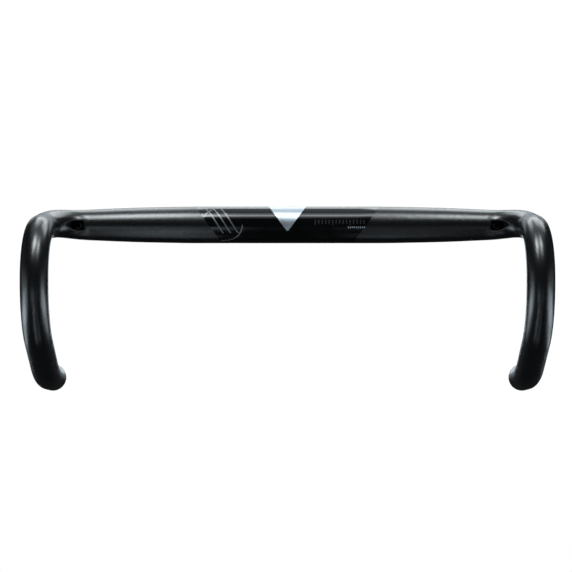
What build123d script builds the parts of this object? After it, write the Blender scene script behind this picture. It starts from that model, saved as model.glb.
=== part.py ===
"""Compact drop handlebar for a road bike: a bonded carbon bar with inside hose routing and end plugs.

Frame: the origin is the middle of the stem clamp, X runs along the tops, -Y is forward and
+Z is up. Left and right are the rider's, so the left side is +X and the right side is -X.
Each left piece is drawn and the right one is its mirror image.
"""

import os
from math import cos, radians, sin, tan

from build123d import *

os.makedirs("parts", exist_ok=True)

# ---- bar size, all in millimetres
HALF_WIDTH = 210.0  # bar centre to the middle of a hook
REACH = 80.0
DROP = 135.0
WALL = 2.2

# ---- tube radii along the tops, from the clamp to the corner bend
CLAMP_R = 15.9
CLAMP_HALF = 78.0  # the round clamp zone ends here
TAPER = ((110.0, 15.45), (140.0, 14.7))
TOPS_END_R = 13.4
TOPS_END_SLOPE = -0.04
HOOK_R = 11.9

# ---- vertices of the left centreline, before rounding
CORNER = Vector(HALF_WIDTH - 3, 0, 0)
HOOD = Vector(HALF_WIDTH, -REACH, -8)
HOOK_FRONT = Vector(HALF_WIDTH, -REACH, -83)
HOOK_BOTTOM = Vector(HALF_WIDTH, 4, -131)
TAIL = Vector(HALF_WIDTH, 52, -DROP)
CORNER_BEND = 38.0
HOOK_BENDS = (42.0, 58.0, 90.0)
CORNER_SECTIONS = 14
CORNER_EASE = 0.7  # share of the bend over which the radius eases down to the hook's
CORNER_LIFT = 2.0  # most that the centreline rises above the bend's own plane

# ---- bonded joint between the centre tube and each drop
SEAM_X = 150.0
SLEEVE_HALF = 15.0
SLEEVE_WALL = 1.4
GLUE_GAP = 0.1

# ---- hose entry port in the front of the corner bend
PORT_PLANE = 32.0  # its outline is drawn this far in front of the tops
PORT_LOW = 0.9  # its middle is this far below the tops' axis
PORT_INNER_X = 177.9
PORT_FLAT_X = 182.5
PORT_TIP_X = 193.1
PORT_HALF_HEIGHT = 5.0
PORT_ROUND = 2.0
PORT_DIRECTION = Vector(-0.15, 1, 0)
PORT_DEPTH = 30.0
PORT_RING = 0.8
PORT_RING_DEPTH = WALL + 1.8
PORT_FLANGE = 0.7
PORT_PROUD = 0.3
FIT_GAP = 0.05
SCOOP_DIRECTION = Vector(-0.6, 1, 0)
SCOOP_X = 197.9  # where the scoop's floor meets the outline's plane
SCOOP_R = 6.0

# ---- hose exit slots under the tops, beside the stem clamp
EXIT_X = 45.5
EXIT_TURN = 9.0  # degrees from straight down towards the front
EXIT_LENGTH = 13.0
EXIT_WIDTH = 8.5
EXIT_RING = 0.8
EXIT_LIP = 0.6
EXIT_SUNK = 0.3
EXIT_INSIDE = 12.3  # the grommet's inner face, from the bar's axis

# ---- liner that leads the hose from port to slot
LINER_R = 3.0
LINER_BORE_R = 2.6
LINER_START = Vector(181.0, -11.5, -PORT_LOW)
LINER_HEADING = Vector(-0.35, 1, 0)
LINER_BEND = 26.0
LINER_END = Vector(54.0, -1.2, -7.4)
LINER_END_DIRECTION = Vector(-0.88, -0.07, -0.47)

# ---- end plug, measured outwards along the tail from the tube's end
CAP_R = 11.6
CAP_THICK = 3.3
CAP_ROUND = 1.6
SPIGOT_R = 9.65
SPIGOT_END = -7.0
SEAT_FLOOR = -1.5
SEAT_R = 4.6
SCREW_R = 2.5
SCREW_CLEARANCE = 0.08
SCREW_HEAD_R = 4.25
SCREW_HEAD = 3.5
SCREW_LENGTH = 28.0
HEX_HALF_FLATS = 1.5
HEX_DEPTH = 2.2
WASHER_R = 4.5
WASHER_BORE_R = 2.6
WASHER_THICK = 0.8
EXPANDER_R = 9.6
EXPANDER_TOP = -7.05
EXPANDER_END = -20.0
CONE_TOP = -9.0
CONE_TOP_R = 3.2
CONE_SLOPE = 0.391
SLIT = 1.5
WEDGE_TOP = -12.0
WEDGE_END = -26.0
WEDGE_R = 8.4
WEDGE_GAP = 0.1
RIB = 0.9
RIB_REACH = 8.9

# ---- directions and points that follow from the sizes above
along = Vector(1, 0, 0)
ramp = (HOOD - CORNER).normalized()
corner_angle = along.get_angle(ramp)
corner_reach = CORNER_BEND * tan(radians(corner_angle / 2))
tops_end = CORNER - along * corner_reach
ramp_start = CORNER + ramp * corner_reach
bend_normal = along.cross(ramp).normalized()
bend_inward = bend_normal.cross(along)
tail_direction = (TAIL - HOOK_BOTTOM).normalized()
tail_axis = Axis(TAIL, tail_direction)
tail_plane = Plane(origin=TAIL, x_dir=(1, 0, 0), z_dir=tail_direction)
tail_section = Plane(origin=TAIL, x_dir=(1, 0, 0), z_dir=along.cross(tail_direction))
port_plane = Plane(origin=(0, -PORT_PLANE, -PORT_LOW), x_dir=(1, 0, 0), z_dir=(0, -1, 0))
exit_direction = Vector(0, -sin(radians(EXIT_TURN)), -cos(radians(EXIT_TURN)))
exit_plane = Plane(origin=(EXIT_X, 0, 0), x_dir=(1, 0, 0), z_dir=exit_direction)


def tops_rod(skin):
    """Solid rod along both tops between the corner bends, its radius the bar's plus skin."""
    knots = [(CLAMP_HALF, CLAMP_R), *TAPER, (tops_end.X, TOPS_END_R)]
    outer = [(x, r + skin) for x, r in knots]
    inner = [(-x, r) for x, r in reversed(outer)]
    with BuildPart() as rod:
        with BuildSketch(Plane.XY):
            with BuildLine():
                Spline(*inner, tangents=[(1, -TOPS_END_SLOPE), (1, 0)])
                Line(inner[-1], outer[0])
                Spline(*outer, tangents=[(1, 0), (1, TOPS_END_SLOPE)])
                Polyline(outer[-1], (tops_end.X, 0), (-tops_end.X, 0), inner[0])
            make_face()
        revolve(axis=Axis.X)
    return rod.part


def corner_plane(share):
    """Section plane at a share of the way round the corner bend."""
    turn = radians(corner_angle) * share
    heading = along * cos(turn) + bend_inward * sin(turn)
    middle = tops_end + (along * sin(turn) + bend_inward * (1 - cos(turn))) * CORNER_BEND
    lift = CORNER_LIFT * share**3 * (1 - share) ** 2 / (0.6**3 * 0.4**2)
    return Plane(origin=middle - bend_normal * lift, x_dir=bend_normal, z_dir=heading)


def corner_r(share):
    """Tube radius at a share of the way round the corner bend, easing down to the hook's."""
    ease = min(1, share / CORNER_EASE)
    ease_length = CORNER_BEND * radians(corner_angle) * CORNER_EASE
    start = 2 * ease**3 - 3 * ease**2 + 1
    lean = (ease**3 - 2 * ease**2 + ease) * ease_length
    return TOPS_END_R * start + TOPS_END_SLOPE * lean + HOOK_R * (1 - start)


def corner_rod(skin):
    """Solid rod round the left corner bend, its radius the bar's plus skin."""
    with BuildPart() as rod:
        for i in range(CORNER_SECTIONS):
            share = i / (CORNER_SECTIONS - 1)
            with BuildSketch(corner_plane(share)):
                Circle(corner_r(share) + skin)
        loft()
    return rod.part


def bent_rod(points, bends, radius):
    """Solid round rod along straights that are joined by circular bends."""
    with BuildPart() as rod:
        here = points[0]
        for before, vertex, after, bend in zip(points, points[1:], points[2:], bends):
            heading = (vertex - before).normalized()
            onward = (after - vertex).normalized()
            angle = heading.get_angle(onward)
            corner = bend * tan(radians(angle / 2))
            bend_start = vertex - heading * corner
            normal = heading.cross(onward).normalized()
            centre = bend_start + normal.cross(heading) * bend
            with BuildSketch(Plane(origin=here, x_dir=normal, z_dir=heading)):
                Circle(radius)
            extrude(amount=(bend_start - here).length)
            with BuildSketch(Plane(origin=bend_start, x_dir=normal, z_dir=heading)):
                Circle(radius)
            revolve(axis=Axis(centre, normal), revolution_arc=angle)
            here = vertex + onward * corner
        last = (points[-1] - points[-2]).normalized()
        with BuildSketch(Plane(origin=here, z_dir=last)):
            Circle(radius)
        extrude(amount=(points[-1] - here).length)
    return rod.part


def drop_rod(skin, overrun=0.0):
    """Solid rod of the whole left drop from the seam to the tail, its radius the bar's plus skin."""
    tail_end = TAIL + tail_direction * overrun
    vertices = [ramp_start, HOOD, HOOK_FRONT, HOOK_BOTTOM, tail_end]
    with BuildPart() as rod:
        add(tops_rod(skin))
        split(bisect_by=Plane.YZ.offset(SEAM_X - overrun), keep=Keep.TOP)
        add(corner_rod(skin))
        add(bent_rod(vertices, HOOK_BENDS, HOOK_R + skin))
    return rod.part


def port_outline(grow):
    """Outline of the hose port: rounded towards the clamp and pointed towards the hook."""
    high = PORT_HALF_HEIGHT + grow
    inner = PORT_INNER_X - grow
    tip = PORT_TIP_X + grow
    waist = PORT_FLAT_X + 0.6 * (tip - PORT_FLAT_X)
    with BuildSketch(port_plane) as outline:
        with BuildLine():
            Polyline((PORT_FLAT_X, high), (inner, high), (inner, -high), (PORT_FLAT_X, -high))
            ThreePointArc((PORT_FLAT_X, -high), (waist, -0.72 * high), (tip, 0))
            ThreePointArc((tip, 0), (waist, 0.72 * high), (PORT_FLAT_X, high))
        make_face()
        fillet(outline.vertices().group_by(Axis.X)[0], PORT_ROUND + grow)
        fillet(outline.vertices().sort_by(Axis.X)[-1], 1.2 + grow)
    return outline.sketch


def exit_outline(grow):
    """Outline of the hose exit slot."""
    with BuildSketch(exit_plane) as outline:
        SlotOverall(EXIT_LENGTH + 2 * grow, EXIT_WIDTH + 2 * grow)
    return outline.sketch


# ---- structural tubes
with BuildPart() as center_tube:
    add(tops_rod(0))
    split(bisect_by=Plane.YZ.offset(SEAM_X), keep=Keep.BOTTOM)
    split(bisect_by=Plane.YZ.offset(-SEAM_X), keep=Keep.TOP)
    add(tops_rod(-WALL), mode=Mode.SUBTRACT)
    extrude(exit_outline(0), amount=20, mode=Mode.SUBTRACT)
    extrude(mirror(exit_outline(0), about=Plane.YZ, mode=Mode.PRIVATE), amount=20, mode=Mode.SUBTRACT)
center_tube.part.label = "center_tube"
export_step(center_tube.part, "parts/center_tube.step")

with BuildPart() as left_drop:
    add(drop_rod(0))
    add(drop_rod(-WALL, 1), mode=Mode.SUBTRACT)
    extrude(port_outline(0), amount=PORT_DEPTH, dir=PORT_DIRECTION, mode=Mode.SUBTRACT)
left_drop.part.label = "left_drop"
export_step(left_drop.part, "parts/left_drop.step")

with BuildPart() as right_drop:
    mirror(left_drop.part, about=Plane.YZ)
right_drop.part.label = "right_drop"
export_step(right_drop.part, "parts/right_drop.step")

# ---- sleeves bonded inside the seams
with BuildPart() as left_bond_sleeve:
    add(tops_rod(-WALL - GLUE_GAP))
    split(bisect_by=Plane.YZ.offset(SEAM_X - SLEEVE_HALF), keep=Keep.TOP)
    split(bisect_by=Plane.YZ.offset(SEAM_X + SLEEVE_HALF), keep=Keep.BOTTOM)
    add(tops_rod(-WALL - GLUE_GAP - SLEEVE_WALL), mode=Mode.SUBTRACT)
left_bond_sleeve.part.label = "left_bond_sleeve"
export_step(left_bond_sleeve.part, "parts/left_bond_sleeve.step")

with BuildPart() as right_bond_sleeve:
    mirror(left_bond_sleeve.part, about=Plane.YZ)
right_bond_sleeve.part.label = "right_bond_sleeve"
export_step(right_bond_sleeve.part, "parts/right_bond_sleeve.step")

# ---- hose port grommets: a thin flange on the surface, a ring in the wall and a scooped run-in
with BuildPart() as port_opening:
    extrude(port_outline(-PORT_RING), amount=PORT_DEPTH, dir=PORT_DIRECTION)
    with BuildSketch(port_plane):
        with Locations((SCOOP_X - SCOOP_R, 0)):
            Circle(SCOOP_R)
            Rectangle(60, 2 * SCOOP_R, align=(Align.MAX, Align.CENTER))
    extrude(amount=PORT_DEPTH, dir=SCOOP_DIRECTION, mode=Mode.INTERSECT)

with BuildPart() as port_flange:
    extrude(port_outline(PORT_FLANGE), amount=PORT_DEPTH, dir=PORT_DIRECTION)
    add(drop_rod(PORT_PROUD), mode=Mode.INTERSECT)
    add(drop_rod(0.02), mode=Mode.SUBTRACT)

with BuildPart() as left_port_grommet:
    extrude(port_outline(-FIT_GAP), amount=PORT_DEPTH, dir=PORT_DIRECTION)
    add(drop_rod(PORT_PROUD), mode=Mode.INTERSECT)
    add(drop_rod(-PORT_RING_DEPTH), mode=Mode.SUBTRACT)
    add(port_flange.part)
    add(port_opening.part, mode=Mode.SUBTRACT)
left_port_grommet.part.label = "left_port_grommet"
export_step(left_port_grommet.part, "parts/left_port_grommet.step")

with BuildPart() as right_port_grommet:
    mirror(left_port_grommet.part, about=Plane.YZ)
right_port_grommet.part.label = "right_port_grommet"
export_step(right_port_grommet.part, "parts/right_port_grommet.step")

# ---- exit slot grommets: a ring sunk a little under the skin with a lip inside the tube
with BuildPart() as exit_skin:
    with BuildSketch(Plane.YZ.offset(EXIT_X - EXIT_LENGTH)):
        Circle(CLAMP_R - EXIT_SUNK)
        Circle(EXIT_INSIDE, mode=Mode.SUBTRACT)
    extrude(amount=2 * EXIT_LENGTH)

with BuildPart() as exit_lip:
    extrude(exit_outline(EXIT_LIP), amount=20)
    with BuildSketch(Plane.YZ.offset(EXIT_X - EXIT_LENGTH)):
        Circle(CLAMP_R - WALL - FIT_GAP)
    extrude(amount=2 * EXIT_LENGTH, mode=Mode.INTERSECT)

with BuildPart() as left_exit_grommet:
    extrude(exit_outline(-FIT_GAP), amount=20)
    add(exit_lip.part)
    add(exit_skin.part, mode=Mode.INTERSECT)
    extrude(exit_outline(-EXIT_RING), amount=20, mode=Mode.SUBTRACT)
left_exit_grommet.part.label = "left_exit_grommet"
export_step(left_exit_grommet.part, "parts/left_exit_grommet.step")

with BuildPart() as right_exit_grommet:
    mirror(left_exit_grommet.part, about=Plane.YZ)
right_exit_grommet.part.label = "right_exit_grommet"
export_step(right_exit_grommet.part, "parts/right_exit_grommet.step")

# ---- liners from port to slot
with BuildPart() as left_guide_tube:
    with BuildLine() as liner_path:
        liner_turn = LINER_HEADING.get_angle(-along)
        run_in = JernArc(start=LINER_START, tangent=LINER_HEADING, radius=LINER_BEND, arc_size=liner_turn)
        Spline(run_in @ 1, LINER_END, tangents=[-along, LINER_END_DIRECTION])
    with BuildSketch(Plane(origin=LINER_START, x_dir=(0, 0, 1), z_dir=LINER_HEADING)):
        Circle(LINER_R)
        Circle(LINER_BORE_R, mode=Mode.SUBTRACT)
    sweep(path=liner_path.wires()[0])
left_guide_tube.part.label = "left_guide_tube"
export_step(left_guide_tube.part, "parts/left_guide_tube.step")

with BuildPart() as right_guide_tube:
    mirror(left_guide_tube.part, about=Plane.YZ)
right_guide_tube.part.label = "right_guide_tube"
export_step(right_guide_tube.part, "parts/right_guide_tube.step")

# ---- end plugs: the screw draws a cone into a slit expander behind the cap
with BuildPart() as left_plug_cap:
    with BuildSketch(tail_section) as cap_profile:
        with BuildLine():
            Polyline(
                (SCREW_R + SCREW_CLEARANCE, SPIGOT_END),
                (SPIGOT_R, SPIGOT_END),
                (SPIGOT_R, FIT_GAP),
                (CAP_R, FIT_GAP),
                (CAP_R, CAP_THICK),
                (SEAT_R, CAP_THICK),
                (SEAT_R, SEAT_FLOOR),
                (SCREW_R + SCREW_CLEARANCE, SEAT_FLOOR),
                close=True,
            )
        make_face()
        fillet(cap_profile.vertices().sort_by(Axis.X)[-2:].sort_by(tail_axis)[-1], CAP_ROUND)
    revolve(axis=tail_axis)
left_plug_cap.part.label = "left_plug_cap"
export_step(left_plug_cap.part, "parts/left_plug_cap.step")

with BuildPart() as right_plug_cap:
    mirror(left_plug_cap.part, about=Plane.YZ)
right_plug_cap.part.label = "right_plug_cap"
export_step(right_plug_cap.part, "parts/right_plug_cap.step")

washer_base = SEAT_FLOOR + 0.02
with BuildPart() as left_plug_washer:
    with BuildSketch(tail_plane.offset(washer_base)):
        Circle(WASHER_R)
        Circle(WASHER_BORE_R, mode=Mode.SUBTRACT)
    extrude(amount=WASHER_THICK)
left_plug_washer.part.label = "left_plug_washer"
export_step(left_plug_washer.part, "parts/left_plug_washer.step")

with BuildPart() as right_plug_washer:
    mirror(left_plug_washer.part, about=Plane.YZ)
right_plug_washer.part.label = "right_plug_washer"
export_step(right_plug_washer.part, "parts/right_plug_washer.step")

head_base = washer_base + WASHER_THICK + FIT_GAP
with BuildPart() as left_plug_screw:
    with BuildSketch(tail_plane.offset(head_base)):
        Circle(SCREW_HEAD_R)
    extrude(amount=SCREW_HEAD)
    fillet(left_plug_screw.edges().sort_by(tail_axis)[-1], 0.4)
    with BuildSketch(tail_plane.offset(head_base)):
        Circle(SCREW_R)
    extrude(amount=-SCREW_LENGTH)
    chamfer(left_plug_screw.edges().sort_by(tail_axis)[0], 0.6)
    with BuildSketch(tail_plane.offset(head_base + SCREW_HEAD)):
        RegularPolygon(HEX_HALF_FLATS, 6, major_radius=False)
    extrude(amount=-HEX_DEPTH, mode=Mode.SUBTRACT)
left_plug_screw.part.label = "left_plug_screw"
export_step(left_plug_screw.part, "parts/left_plug_screw.step")

with BuildPart() as right_plug_screw:
    mirror(left_plug_screw.part, about=Plane.YZ)
right_plug_screw.part.label = "right_plug_screw"
export_step(right_plug_screw.part, "parts/right_plug_screw.step")

with BuildPart() as left_plug_expander:
    with BuildSketch(tail_section):
        with BuildLine():
            Polyline(
                (CONE_TOP_R, EXPANDER_TOP),
                (EXPANDER_R, EXPANDER_TOP),
                (EXPANDER_R, EXPANDER_END),
                (CONE_TOP_R + CONE_SLOPE * (CONE_TOP - EXPANDER_END), EXPANDER_END),
                (CONE_TOP_R, CONE_TOP),
                close=True,
            )
        make_face()
    revolve(axis=tail_axis)
    with BuildSketch(tail_plane.offset(EXPANDER_END - 1)):
        Rectangle(3 * EXPANDER_R, SLIT)
        Rectangle(SLIT, 3 * EXPANDER_R)
    extrude(amount=CONE_TOP - EXPANDER_END - 1, mode=Mode.SUBTRACT)
left_plug_expander.part.label = "left_plug_expander"
export_step(left_plug_expander.part, "parts/left_plug_expander.step")

with BuildPart() as right_plug_expander:
    mirror(left_plug_expander.part, about=Plane.YZ)
right_plug_expander.part.label = "right_plug_expander"
export_step(right_plug_expander.part, "parts/right_plug_expander.step")

wedge_top_r = CONE_TOP_R + CONE_SLOPE * (CONE_TOP - WEDGE_TOP) - WEDGE_GAP
wedge_shoulder = WEDGE_TOP - (WEDGE_R - wedge_top_r) / CONE_SLOPE
with BuildPart() as left_plug_wedge:
    with BuildSketch(tail_section):
        with BuildLine():
            Polyline(
                (0, WEDGE_TOP),
                (wedge_top_r, WEDGE_TOP),
                (WEDGE_R, wedge_shoulder),
                (WEDGE_R, WEDGE_END),
                (0, WEDGE_END),
                close=True,
            )
        make_face()
    revolve(axis=tail_axis)
    with BuildSketch(tail_plane.offset(wedge_shoulder)):
        Rectangle(2 * RIB_REACH, RIB)
    extrude(amount=WEDGE_TOP - 1 - wedge_shoulder)
    with BuildSketch(tail_plane.offset(WEDGE_END)):
        Circle(SCREW_R + SCREW_CLEARANCE)
    extrude(amount=WEDGE_TOP - WEDGE_END, mode=Mode.SUBTRACT)
left_plug_wedge.part.label = "left_plug_wedge"
export_step(left_plug_wedge.part, "parts/left_plug_wedge.step")

with BuildPart() as right_plug_wedge:
    mirror(left_plug_wedge.part, about=Plane.YZ)
right_plug_wedge.part.label = "right_plug_wedge"
export_step(right_plug_wedge.part, "parts/right_plug_wedge.step")
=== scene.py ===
"""Looks of the drop handlebar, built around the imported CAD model.

Metres. X runs along the bar, to the rider's left; -Y is forward and +Z is up.
"""

import math

import bpy
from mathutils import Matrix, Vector


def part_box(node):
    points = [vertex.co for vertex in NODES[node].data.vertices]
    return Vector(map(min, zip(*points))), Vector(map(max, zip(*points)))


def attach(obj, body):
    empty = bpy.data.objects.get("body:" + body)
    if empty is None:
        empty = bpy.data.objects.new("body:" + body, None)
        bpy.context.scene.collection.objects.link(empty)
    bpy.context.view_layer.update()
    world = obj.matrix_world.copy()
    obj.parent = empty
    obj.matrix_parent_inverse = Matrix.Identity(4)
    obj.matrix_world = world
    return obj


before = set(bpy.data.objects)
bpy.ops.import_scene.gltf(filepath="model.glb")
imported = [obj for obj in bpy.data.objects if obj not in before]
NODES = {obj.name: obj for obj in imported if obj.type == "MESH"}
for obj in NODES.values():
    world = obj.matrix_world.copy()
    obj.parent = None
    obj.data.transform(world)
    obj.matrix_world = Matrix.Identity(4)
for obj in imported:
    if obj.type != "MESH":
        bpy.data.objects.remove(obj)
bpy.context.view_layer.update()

MM = 0.001
SIDES = ("left", "right")
CLAMP_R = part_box("center_tube")[1].z

# ------------------------------------------------------------------ camera
CAMERA_PLACE = (-0.00125, -1.700, -0.05307)
CAMERA_LENS = 123.04
CAMERA_SENSOR = 36.0
CAMERA_CLIP = (0.05, 50.0)

camera_data = bpy.data.cameras.new("camera")
camera_data.lens = CAMERA_LENS
camera_data.sensor_width = CAMERA_SENSOR
camera_data.clip_start, camera_data.clip_end = CAMERA_CLIP
camera = bpy.data.objects.new("camera", camera_data)
camera.location = CAMERA_PLACE
camera.rotation_euler = (math.radians(90), 0, 0)
bpy.context.scene.collection.objects.link(camera)
bpy.context.scene.camera = camera


# ------------------------------------------------------------------ node helpers
class Finish:
    """A material made of one Principled shader and the nodes that feed it."""

    def __init__(self, name):
        self.material = bpy.data.materials.new(name)
        self.material.use_nodes = True
        self.tree = self.material.node_tree
        self.tree.nodes.clear()
        out = self.node("ShaderNodeOutputMaterial")
        self.shader = self.node("ShaderNodeBsdfPrincipled")
        self.feed(out.inputs["Surface"], self.shader.outputs["BSDF"])
        self.place = self.node("ShaderNodeTexCoord").outputs["Object"]

    def node(self, kind, **values):
        made = self.tree.nodes.new(kind)
        for key, value in values.items():
            setattr(made, key, value)
        return made

    def feed(self, socket, value):
        """Give a socket a number, an RGB triple or another node's output."""
        if isinstance(value, tuple):
            socket.default_value = (*value, 1.0)
        elif isinstance(value, (int, float)):
            socket.default_value = value
        else:
            self.tree.links.new(value, socket)

    def set(self, socket, value):
        self.feed(self.shader.inputs[socket], value)

    def stretched(self, scale):
        """The place, scaled along each axis."""
        mapping = self.node("ShaderNodeMapping")
        self.feed(mapping.inputs["Vector"], self.place)
        mapping.inputs["Scale"].default_value = scale
        return mapping.outputs["Vector"]

    def split_place(self):
        """The place's X, Y and Z."""
        split = self.node("ShaderNodeSeparateXYZ")
        self.feed(split.inputs[0], self.place)
        return split.outputs["X"], split.outputs["Y"], split.outputs["Z"]

    def noise(self, scale, detail=2.0, rough=0.5, where=None):
        made = self.node("ShaderNodeTexNoise")
        made.inputs["Scale"].default_value = scale
        made.inputs["Detail"].default_value = detail
        made.inputs["Roughness"].default_value = rough
        self.feed(made.inputs["Vector"], where or self.place)
        return made.outputs["Fac"]

    def math(self, operation, *values):
        made = self.node("ShaderNodeMath", operation=operation)
        for socket, value in zip(made.inputs, values):
            self.feed(socket, value)
        return made.outputs[0]

    def weighted(self, one, other, share):
        """The sum of two noises, share of the first and the rest of the second."""
        return self.math("ADD", self.math("MULTIPLY", one, share),
                         self.math("MULTIPLY", other, round(1 - share, 2)))

    def between(self, factor, low, high, start=0.3, end=0.7):
        """factor from start to end, turned into low to high."""
        made = self.node("ShaderNodeMapRange")
        self.feed(made.inputs["Value"], factor)
        made.inputs["From Min"].default_value = start
        made.inputs["From Max"].default_value = end
        made.inputs["To Min"].default_value = low
        made.inputs["To Max"].default_value = high
        return made.outputs["Result"]

    def mix(self, factor, a, b):
        """A colour between a and b; each is a socket or an RGB triple."""
        made = self.node("ShaderNodeMix", data_type="RGBA")
        self.feed(made.inputs["Factor"], factor)
        self.feed(made.inputs[6], a)
        self.feed(made.inputs[7], b)
        return made.outputs[2]

    def blend(self, factor, a, b):
        """A number between a and b; each is a socket."""
        made = self.node("ShaderNodeMix", data_type="FLOAT")
        self.feed(made.inputs["Factor"], factor)
        self.feed(made.inputs[2], a)
        self.feed(made.inputs[3], b)
        return made.outputs[0]

    def tones(self, noise, dark, light):
        """A colour that a noise moves between dark and light."""
        return self.mix(self.between(noise, 0.0, 1.0), dark, light)

    def bump(self, height, depth):
        made = self.node("ShaderNodeBump")
        made.inputs["Distance"].default_value = depth
        made.inputs["Strength"].default_value = 1.0
        self.feed(made.inputs["Height"], height)
        self.set("Normal", made.outputs["Normal"])

    def dress(self, *names):
        """Put the material on every slot of those CAD nodes."""
        for name in names:
            for slot in NODES[name].material_slots:
                slot.material = self.material


def both(name):
    """The names of the left and the right node."""
    return [f"{side}_{name}" for side in SIDES]


# ------------------------------------------------------------------ finishes of the bar
SATIN_DARK = (0.0018, 0.0021, 0.0024)
SATIN_LIGHT = (0.0034, 0.0039, 0.0044)
SATIN_ROUGH = (0.25, 0.30)
GLOSS_DARK = (0.0009, 0.0010, 0.0011)
GLOSS_LIGHT = (0.0016, 0.0018, 0.0020)
GLOSS_ROUGH = (0.085, 0.115)
SHINE = 0.6
COAT_DEPTH = 0.0028 * MM

# how many noise cells to a metre
SATIN_GRAIN = 2600.0
SATIN_CLOUD = 55.0
SATIN_FIBRES = (120.0, 1700.0, 1700.0)
GLOSS_HAZE = 90.0
GLOSS_PEEL = 420.0
PEEL_HEIGHT = 1.2

# the gloss field ends at |x| = PAINT_EDGE + PAINT_SLOPE * z
PAINT_EDGE = 0.0682
PAINT_SLOPE = 0.73
PAINT_BLUR = 0.12 * MM


def satin_nodes(finish):
    """Matt clear coat over black laminate: colour, roughness and height."""
    grain = finish.noise(SATIN_GRAIN, detail=3.0, rough=0.6)
    cloud = finish.noise(SATIN_CLOUD)
    fibres = finish.noise(1.0, detail=3.0, where=finish.stretched(SATIN_FIBRES))
    colour = finish.tones(finish.weighted(grain, fibres, 0.55), SATIN_DARK, SATIN_LIGHT)
    rough = finish.between(finish.weighted(grain, cloud, 0.6), *SATIN_ROUGH)
    return colour, rough, grain


def satin_finish():
    finish = Finish("satin_laminate")
    finish.set("Specular IOR Level", SHINE)
    colour, rough, height = satin_nodes(finish)
    finish.set("Base Color", colour)
    finish.set("Roughness", rough)
    finish.bump(height, COAT_DEPTH)
    return finish


def centre_finish():
    """The satin finish, with a gloss black field between two slanted edges."""
    finish = Finish("centre_paint")
    finish.set("Specular IOR Level", SHINE)
    colour, rough, height = satin_nodes(finish)
    across, _, up = finish.split_place()
    edge = finish.math("ADD", finish.math("MULTIPLY", up, PAINT_SLOPE), PAINT_EDGE)
    beyond = finish.math("SUBTRACT", finish.math("ABSOLUTE", across), edge)
    satin = finish.between(beyond, 0.0, 1.0, -PAINT_BLUR, PAINT_BLUR)
    haze = finish.noise(GLOSS_HAZE, detail=3.0)
    peel = finish.math("MULTIPLY", finish.noise(GLOSS_PEEL, detail=1.0), PEEL_HEIGHT)
    finish.set("Base Color", finish.mix(satin, finish.tones(haze, GLOSS_DARK, GLOSS_LIGHT), colour))
    finish.set("Roughness", finish.blend(satin, finish.between(haze, *GLOSS_ROUGH), rough))
    finish.bump(finish.blend(satin, peel, height), COAT_DEPTH)
    return finish


satin_finish().dress("left_drop", "right_drop")
centre_finish().dress("center_tube")

# ------------------------------------------------------------------ finish of the port trim, with painted shade in the port
# its bullet-shaped black field of painted shade: flat up to PORT_FLAT_X, then closing to a point at
# PORT_TIP_X
PORT_FLAT_X = 182.5 * MM
PORT_TIP_X = 192.3 * MM
PORT_HALF_HEIGHT = 4.4 * MM
# painted shade: the black field sits a little higher than the opening, so the trim's upper lip is
# darkened too
PORT_LOW = 0.3 * MM
PORT_ROUNDING = 3.2
PORT_PLANE = 32 * MM
PORT_LEAN = 0.15
PORT_BLUR = (-0.15 * MM, 0.10 * MM)
TRIM_SHINE = 0.1
TRIM_GRAIN = 1500.0
TRIM_DEPTH = 0.006 * MM
INNER_ROUGH = (0.5, 0.65)
FLANGE_DARK = (0.032, 0.035, 0.038)
FLANGE_LIGHT = (0.046, 0.050, 0.054)


def port_finish_with_painted_shade():
    """Satin grey flange round each hose port; inside its bullet-shaped outline, a matt black field
    of painted shade.
    """
    finish = Finish("port_trim")
    finish.set("Specular IOR Level", TRIM_SHINE)
    grain = finish.noise(TRIM_GRAIN)
    across, ahead, up = finish.split_place()
    lean = finish.math("MULTIPLY", finish.math("ADD", ahead, PORT_PLANE), PORT_LEAN)
    along = finish.math("ADD", finish.math("ABSOLUTE", across), lean)
    share = finish.between(along, 0.0, 1.0, PORT_FLAT_X, PORT_TIP_X)
    closing = finish.math("MULTIPLY", finish.math("POWER", share, PORT_ROUNDING), PORT_HALF_HEIGHT)
    room = finish.math("SUBTRACT", PORT_HALF_HEIGHT, closing)
    off = finish.math("ABSOLUTE", finish.math("ADD", up, PORT_LOW))
    # inside: where the shade in the port recess is painted black
    inside = finish.between(finish.math("SUBTRACT", room, off), 0.0, 1.0, *PORT_BLUR)
    flange = finish.tones(grain, FLANGE_DARK, FLANGE_LIGHT)
    # painted shade: this black stands in for the shade inside the port recess, not a colour of the
    # trim
    black = finish.tones(grain, GLOSS_DARK, GLOSS_LIGHT)
    finish.set("Base Color", finish.mix(inside, flange, black))
    finish.set("Roughness", finish.blend(inside, finish.between(grain, *SATIN_ROUGH),
                                         finish.between(grain, *INNER_ROUGH)))
    finish.bump(grain, TRIM_DEPTH)
    return finish


port_finish_with_painted_shade().dress(*both("port_grommet"))


# ------------------------------------------------------------------ finishes of the small parts
BROAD_NOISE = 120.0


def simple_finish(name, dark, light, rough, scale=1.0, stretch=None, detail=2.0, metallic=0.0,
                  depth=0.01):
    """Two colours and two roughnesses, mixed by a fine and a broad noise; depth is in mm."""
    finish = Finish(name)
    finish.set("Metallic", metallic)
    where = finish.stretched(stretch) if stretch else None
    fine = finish.noise(scale, detail=detail, where=where)
    tone = finish.weighted(fine, finish.noise(BROAD_NOISE), 0.6)
    finish.set("Base Color", finish.tones(tone, dark, light))
    finish.set("Roughness", finish.between(tone, *rough))
    finish.bump(fine, depth * MM)
    return finish


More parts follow.
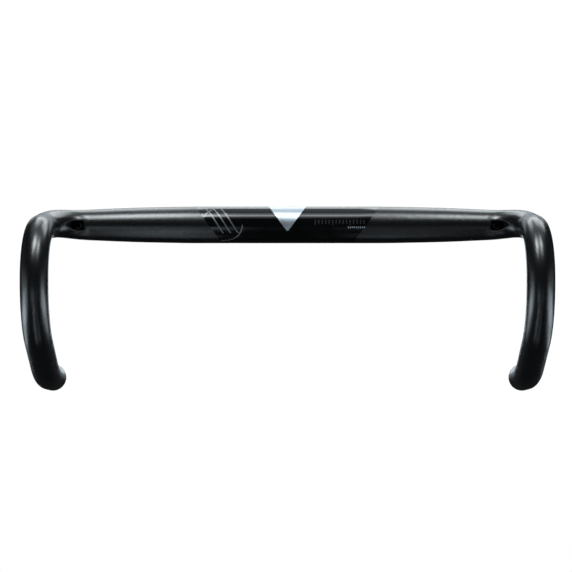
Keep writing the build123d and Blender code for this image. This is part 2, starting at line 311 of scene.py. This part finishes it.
PART_FINISHES = {
    "exit_grommet": dict(name="trim_nylon", dark=(0.004, 0.0045, 0.005),
                         light=(0.009, 0.010, 0.011), rough=(0.30, 0.42), scale=1500.0),
    "bond_sleeve": dict(name="bare_laminate", dark=(0.006, 0.006, 0.007),
                        light=(0.020, 0.021, 0.023), rough=(0.38, 0.55),
                        stretch=(90.0, 1400.0, 1400.0), detail=3.0, depth=0.03),
    "guide_tube": dict(name="liner_plastic", dark=(0.010, 0.010, 0.011),
                       light=(0.018, 0.018, 0.020), rough=(0.40, 0.50),
                       stretch=(150.0, 1800.0, 1800.0), depth=0.004),
    "plug_cap": dict(name="cap_moulding", dark=(0.006, 0.0065, 0.007),
                     light=(0.013, 0.014, 0.015), rough=(0.42, 0.58), scale=3200.0, depth=0.02),
    "plug_washer": dict(name="washer_steel", dark=(0.36, 0.37, 0.38), light=(0.62, 0.62, 0.63),
                        rough=(0.22, 0.34), scale=2600.0, metallic=1.0, depth=0.004),
    "plug_screw": dict(name="screw_black_oxide", dark=(0.010, 0.010, 0.011),
                       light=(0.035, 0.034, 0.036), rough=(0.28, 0.42), scale=2200.0,
                       metallic=0.7, depth=0.005),
    "plug_expander": dict(name="expander_nylon", dark=(0.030, 0.031, 0.033),
                          light=(0.055, 0.056, 0.058), rough=(0.45, 0.6), scale=1800.0,
                          depth=0.015),
    "plug_wedge": dict(name="wedge_turned_aluminium", dark=(0.42, 0.43, 0.44),
                       light=(0.66, 0.67, 0.68), rough=(0.22, 0.36),
                       stretch=(700.0, 5200.0, 700.0), metallic=1.0, depth=0.006),
}
for node_name, look in PART_FINISHES.items():
    simple_finish(**look).dress(*both(node_name))

# ------------------------------------------------------------------ printed graphics
PRINT_PROUD = 0.035 * MM
PRINT_ROOT = 0.05 * MM
PRINT_SCALE = 2400.0
PRINT_DEPTH = 0.004


def on_tube(x, arc, lift):
    """A point on the clamp area: x along it, arc round it from the front towards the top."""
    turn = arc / CLAMP_R
    radius = CLAMP_R + lift
    return (x, -radius * math.cos(turn), radius * math.sin(turn))


def arc_at(z):
    """The arc on the clamp area at that height."""
    return CLAMP_R * math.asin(z / CLAMP_R)


def straight(start, end, steps):
    return [tuple(a + (b - a) * i / steps for a, b in zip(start, end)) for i in range(steps + 1)]


def band(start, end, width, steps=14):
    """A straight ribbon from start to end; its width is along X."""
    half = width / 2
    return tuple(straight((start[0] + shift, start[1]), (end[0] + shift, end[1]), steps)
                 for shift in (-half, half))


def ring(centre, radius, width, start, end, steps):
    """Part of a ring, from start to end degrees, counted from +X towards the top."""
    turns = [math.radians(start + (end - start) * i / steps) for i in range(steps + 1)]
    return tuple([(centre[0] + r * math.cos(turn), centre[1] + r * math.sin(turn))
                  for turn in turns] for r in (radius - width / 2, radius + width / 2))


def print_mesh(name, ribbons, finish):
    """Thin printed shapes in one mesh. A ribbon is two lines of as many (x, arc) points each."""
    verts, faces = [], []
    for one, other in ribbons:
        base = len(verts)
        last = base + 4 * (len(one) - 1)
        for a, b in zip(one, other):
            verts.append(on_tube(*a, -PRINT_ROOT))
            verts.append(on_tube(*a, PRINT_PROUD))
            verts.append(on_tube(*b, PRINT_PROUD))
            verts.append(on_tube(*b, -PRINT_ROOT))
        for here in range(base, last, 4):
            for k in range(4):
                nxt = (k + 1) % 4
                faces.append((here + k, here + nxt, here + 4 + nxt, here + 4 + k))
        faces.append((base + 3, base + 2, base + 1, base))
        faces.append((last, last + 1, last + 2, last + 3))
    mesh = bpy.data.meshes.new(name)
    mesh.from_pydata(verts, [], faces)
    mesh.materials.append(finish.material)
    mesh.update()
    made = bpy.data.objects.new(name, mesh)
    bpy.context.scene.collection.objects.link(made)
    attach(made, "bar")


def print_finish(name, dark, light, rough, metallic=0.0):
    return simple_finish(name, dark, light, rough, PRINT_SCALE, metallic=metallic,
                         depth=PRINT_DEPTH)


silver = print_finish("print_silver", (0.30, 0.34, 0.38), (0.44, 0.48, 0.52), (0.34, 0.42), 0.75)
grey = print_finish("print_grey", (0.10, 0.106, 0.112), (0.15, 0.158, 0.166), (0.28, 0.38), 0.5)
pale_grey = print_finish("print_pale_grey", (0.30, 0.32, 0.34), (0.42, 0.44, 0.46), (0.40, 0.50))
dark_grey = print_finish("print_dark_grey", (0.013, 0.0135, 0.014), (0.019, 0.0195, 0.020),
                         (0.24, 0.32))

# a filled pointer that narrows from the top line to a rounded tip at the front
POINTER_TIP = arc_at(-5.4 * MM)
POINTER_TOP = CLAMP_R * math.radians(84)
POINTER_SPREAD = 0.72
POINTER_TIP_HALF = 0.9 * MM
POINTER_TIP_R = 1.7 * MM
POINTER_STEPS = 40
POINTER_EASE = 1.6


def pointer_half(arc):
    """Half the pointer's width at that arc."""
    rise = CLAMP_R * (math.sin(arc / CLAMP_R) - math.sin(POINTER_TIP / CLAMP_R))
    half = POINTER_TIP_HALF + POINTER_SPREAD * rise
    if rise < POINTER_TIP_R:
        half = min(half, math.sqrt(max(0.0, POINTER_TIP_R ** 2 - (POINTER_TIP_R - rise) ** 2)))
    return half


pointer_arcs = [POINTER_TIP + (POINTER_TOP - POINTER_TIP) * (i / POINTER_STEPS) ** POINTER_EASE
                for i in range(POINTER_STEPS + 1)]
print_mesh("centre_pointer", [tuple([(sign * pointer_half(arc), arc) for arc in pointer_arcs]
                                    for sign in (-1, 1))], silver)

# a part ring and three slanted lines on the rider's right
RING_CENTRE = (-55.8 * MM, arc_at(0.6 * MM))
RING_R = 17.0 * MM
RING_ARCS = ((1.1 * MM, 118, 160, 12), (1.25 * MM, 264, 356, 24))   # width, start, end, steps
SLANT_TOP = (-70.5 * MM, arc_at(13.6 * MM))
SLANT_LOW = (-55.5 * MM, arc_at(-7.4 * MM))
SLANT_PITCH = 6.5 * MM
SLANT_WIDTH = 1.3 * MM

ring_pieces = [ring(RING_CENTRE, RING_R, *arc) for arc in RING_ARCS]
for i in range(3):
    shift = i * SLANT_PITCH
    ring_pieces.append(band((SLANT_TOP[0] + shift, SLANT_TOP[1]),
                            (SLANT_LOW[0] + shift, SLANT_LOW[1]), SLANT_WIDTH))
print_mesh("ring_and_lines", ring_pieces, grey)


# a scale of plain ticks on the rider's left, with a finer row under its end; sizes in mm
def tick_row(start, pitch, top, lengths, width, steps):
    """Ticks side by side along X, each hanging down from top by its length."""
    ticks = []
    for i, length in enumerate(lengths):
        x = (start + pitch * i) * MM
        ticks.append(band((x, arc_at(top * MM)), (x, arc_at((top - length) * MM)),
                          width * MM, steps))
    return ticks


SCALE_LENGTHS = [3.6 if i % 5 else 4.6 for i in range(15)]
FINE_LENGTHS = [1.2] * 9
print_mesh("scale_ticks", tick_row(start=24.0, pitch=3.0, top=3.9, lengths=SCALE_LENGTHS,
                                   width=1.1, steps=6), dark_grey)
print_mesh("fine_ticks", tick_row(start=52.5, pitch=1.75, top=-1.9, lengths=FINE_LENGTHS,
                                  width=0.7, steps=3), pale_grey)

# ------------------------------------------------------------------ floor and backdrop
FLOOR_Z = -0.40
STAGE_R = 7.0
FLOOR_R = 0.99 * STAGE_R
STAGE_NOISE = 3.0


def emission(name, low, high):
    """A pale glow, varied a little from place to place."""
    material = bpy.data.materials.new(name)
    material.use_nodes = True
    tree = material.node_tree
    tree.nodes.clear()
    out = tree.nodes.new("ShaderNodeOutputMaterial")
    glow = tree.nodes.new("ShaderNodeEmission")
    noise = tree.nodes.new("ShaderNodeTexNoise")
    noise.inputs["Scale"].default_value = STAGE_NOISE
    strength = tree.nodes.new("ShaderNodeMapRange")
    strength.inputs["To Min"].default_value = low
    strength.inputs["To Max"].default_value = high
    tree.links.new(noise.outputs["Fac"], strength.inputs["Value"])
    tree.links.new(strength.outputs["Result"], glow.inputs["Strength"])
    tree.links.new(glow.outputs["Emission"], out.inputs["Surface"])
    return material


def set_stage(name, material):
    """Name and dress the mesh just added, and let only the camera see it."""
    obj = bpy.context.object
    obj.name = name
    obj.data.materials.append(material)
    obj.visible_diffuse = False
    obj.visible_glossy = False
    obj.visible_transmission = False
    obj.visible_shadow = False


bpy.ops.mesh.primitive_uv_sphere_add(segments=48, ring_count=24, radius=STAGE_R,
                                     location=(0, 0, FLOOR_Z))
set_stage("backdrop", emission("backdrop_white", 1.0, 1.04))
bpy.ops.mesh.primitive_circle_add(vertices=96, radius=FLOOR_R, fill_type="NGON",
                                  location=(0, 0, FLOOR_Z))
set_stage("floor", emission("floor_pale", 0.99, 1.03))

# ------------------------------------------------------------------ light
BRIGHT_TINT = (0.915, 0.974, 1.0)
DIM_TINT = (0.80, 0.92, 1.0)
LUMINANCE = (0.2126, 0.7152, 0.0722)
WORLD_TINT = (0.9, 0.95, 1.0, 1.0)
WORLD_STRENGTH = 0.02

# A light stands at its place and faces back along its axis, to the plane through the origin. Its
# size is its width and height, and its radiance is how bright it looks, whatever its tint. Places
# and sizes are given; the radiances were fitted to the photo's shading, then rounded.
# lights on the middle plane: name, axis, place, size, radiance, tint
MIDDLE_LIGHTS = (
    ("front_top", "Z", (0, -0.59, 1.0), (0.24, 0.14), 5.5, BRIGHT_TINT),
    ("front_top_mid", "Z", (0, -0.73, 1.0), (0.24, 0.14), 2.96, BRIGHT_TINT),
    ("front_top_near", "Z", (0, -0.40, 1.0), (0.24, 0.24), 2.21, BRIGHT_TINT),
    ("front_top_far", "Z", (0, -0.975, 1.0), (0.24, 0.35), 0.60, BRIGHT_TINT),
    ("ceiling", "Z", (0, 0.01, 1.0), (1.6, 0.58), 0.53, DIM_TINT),
    ("rear_top", "Z", (0, 0.55, 1.0), (0.24, 0.5), 0.70, BRIGHT_TINT),
    ("rear_top_far", "Z", (0, 1.05, 1.0), (1.0, 0.5), 5.0, BRIGHT_TINT),
    ("back_strip", "Y", (0, 1.6, 0.0), (1.2, 0.2), 1.76, DIM_TINT),
    ("back_high", "Y", (0, 1.6, 0.75), (2.0, 0.5), 1.10, DIM_TINT),
)
# lights in pairs, placed for +X: name, axis, place, size, radiance on +X, radiance on -X, tint
PAIRED_LIGHTS = (
    ("top", "Z", (0.20, -0.59, 1.0), (0.16, 0.14), 4.1, 21.8, BRIGHT_TINT),
    ("top_mid", "Z", (0.20, -0.73, 1.0), (0.16, 0.14), 1.02, 16.9, BRIGHT_TINT),
    ("top_near", "Z", (0.20, -0.40, 1.0), (0.16, 0.24), 4.3, 16.0, BRIGHT_TINT),
    ("top_far_out", "Z", (0.39, -0.975, 1.0), (0.22, 0.35), 9.9, 10.4, BRIGHT_TINT),
    ("top_inner_out", "Z", (0.445, -0.625, 1.0), (0.11, 0.21), 13.9, 9.3, BRIGHT_TINT),
    ("rear", "Z", (0.31, 0.55, 1.0), (0.38, 0.5), 4.3, 3.5, BRIGHT_TINT),
    ("rear_out", "Z", (0.70, 0.65, 1.0), (0.40, 0.7), 4.8, 0.26, BRIGHT_TINT),
    ("side_low_front", "X", (1.3, -0.60, -0.575), (0.50, 0.45), 3.2, 1.93, DIM_TINT),
    ("side_low", "X", (1.3, 0.0, -0.575), (0.70, 0.45), 4.5, 5.0, DIM_TINT),
    ("side_low_rear", "X", (1.3, 0.65, -0.675), (0.60, 0.65), 1.72, 1.97, DIM_TINT),
    ("side_floor", "X", (1.3, 0.0, -1.0), (0.90, 0.40), 1.08, 0.31, DIM_TINT),
    ("side_mid", "X", (1.3, -0.35, -0.275), (1.0, 0.15), 3.6, 3.5, DIM_TINT),
    ("side_level", "X", (1.3, -0.30, -0.05), (1.2, 0.30), 0.34, 0.42, DIM_TINT),
    ("top_inner_mid", "Z", (0.335, -0.625, 1.0), (0.11, 0.21), 24.6, 25.1, BRIGHT_TINT),
    ("top_inner_far", "Z", (0.335, -0.84, 1.0), (0.11, 0.22), 12.0, 16.1, BRIGHT_TINT),
    ("top_inner_near", "Z", (0.335, -0.41, 1.0), (0.11, 0.22), 13.8, 12.2, BRIGHT_TINT),
    ("top_outer_far", "Z", (0.445, -0.84, 1.0), (0.11, 0.22), 11.9, 7.6, BRIGHT_TINT),
    ("floor_near", "Z", (0.25, -1.3, -1.1), (0.1, 0.4), 1.51, 5.9, DIM_TINT),
    ("floor_middle", "Z", (0.25, -0.925, -1.1), (0.1, 0.35), 0.79, 2.94, DIM_TINT),
    ("floor_under", "Z", (0.25, -0.575, -1.1), (0.1, 0.35), 0.59, 2.97, DIM_TINT),
    ("floor_far", "Z", (0.25, -0.2, -1.1), (0.1, 0.4), 0.00, 0.80, DIM_TINT),
    ("floor_centre", "Z", (0.16, -0.575, -1.1), (0.08, 0.35), 0.58, 0.00, DIM_TINT),
    ("floor_centre_far", "Z", (0.16, -0.2, -1.1), (0.08, 0.4), 1.39, 1.25, DIM_TINT),
    ("front_low_side", "Y", (0.45, -1.6, -0.7), (0.66, 0.6), 0.28, 0.96, DIM_TINT),
    ("front_low_inner", "Y", (0.17, -1.6, -0.7), (0.14, 0.6), 0.00, 0.65, DIM_TINT),
    ("back_side", "Y", (0.525, 1.6, -0.175), (0.35, 0.15), 2.89, 3.5, DIM_TINT),
    ("side_behind", "X", (1.3, 1.25, -0.75), (0.6, 0.3), 1.83, 1.59, DIM_TINT),
    ("side_high", "X", (1.3, 0.0, 0.35), (1.2, 0.5), 0.04, 0.05, DIM_TINT),
)


def softbox(name, axis, place, size, radiance, tint):
    """A plain soft light; one of no radiance isn't made."""
    if not radiance:
        return
    data = bpy.data.lights.new(name, "AREA")
    data.shape = "RECTANGLE"
    data.size, data.size_y = size
    brightness = sum(weight * part for weight, part in zip(LUMINANCE, tint))
    data.energy = radiance / brightness * math.pi * size[0] * size[1]
    data.color = tint
    made = bpy.data.objects.new(name, data)
    made.location = place
    ahead = [-value if letter == axis else 0.0 for letter, value in zip("XYZ", place)]
    made.rotation_euler = Vector(ahead).to_track_quat("-Z", "Y").to_euler()
    made.visible_camera = False
    bpy.context.scene.collection.objects.link(made)


for light in MIDDLE_LIGHTS:
    softbox(*light)
for light_name, axis, place, size, left, right, tint in PAIRED_LIGHTS:
    for side, sign, radiance in zip(SIDES, (1, -1), (left, right)):
        softbox(f"{side}_{light_name}", axis, (sign * place[0], *place[1:]), size, radiance, tint)

world = bpy.data.worlds.new("world")
world.use_nodes = True
sky = world.node_tree.nodes["Background"].inputs
sky["Color"].default_value = WORLD_TINT
sky["Strength"].default_value = WORLD_STRENGTH
bpy.context.scene.world = world
bpy.context.scene.view_settings.view_transform = "Standard"
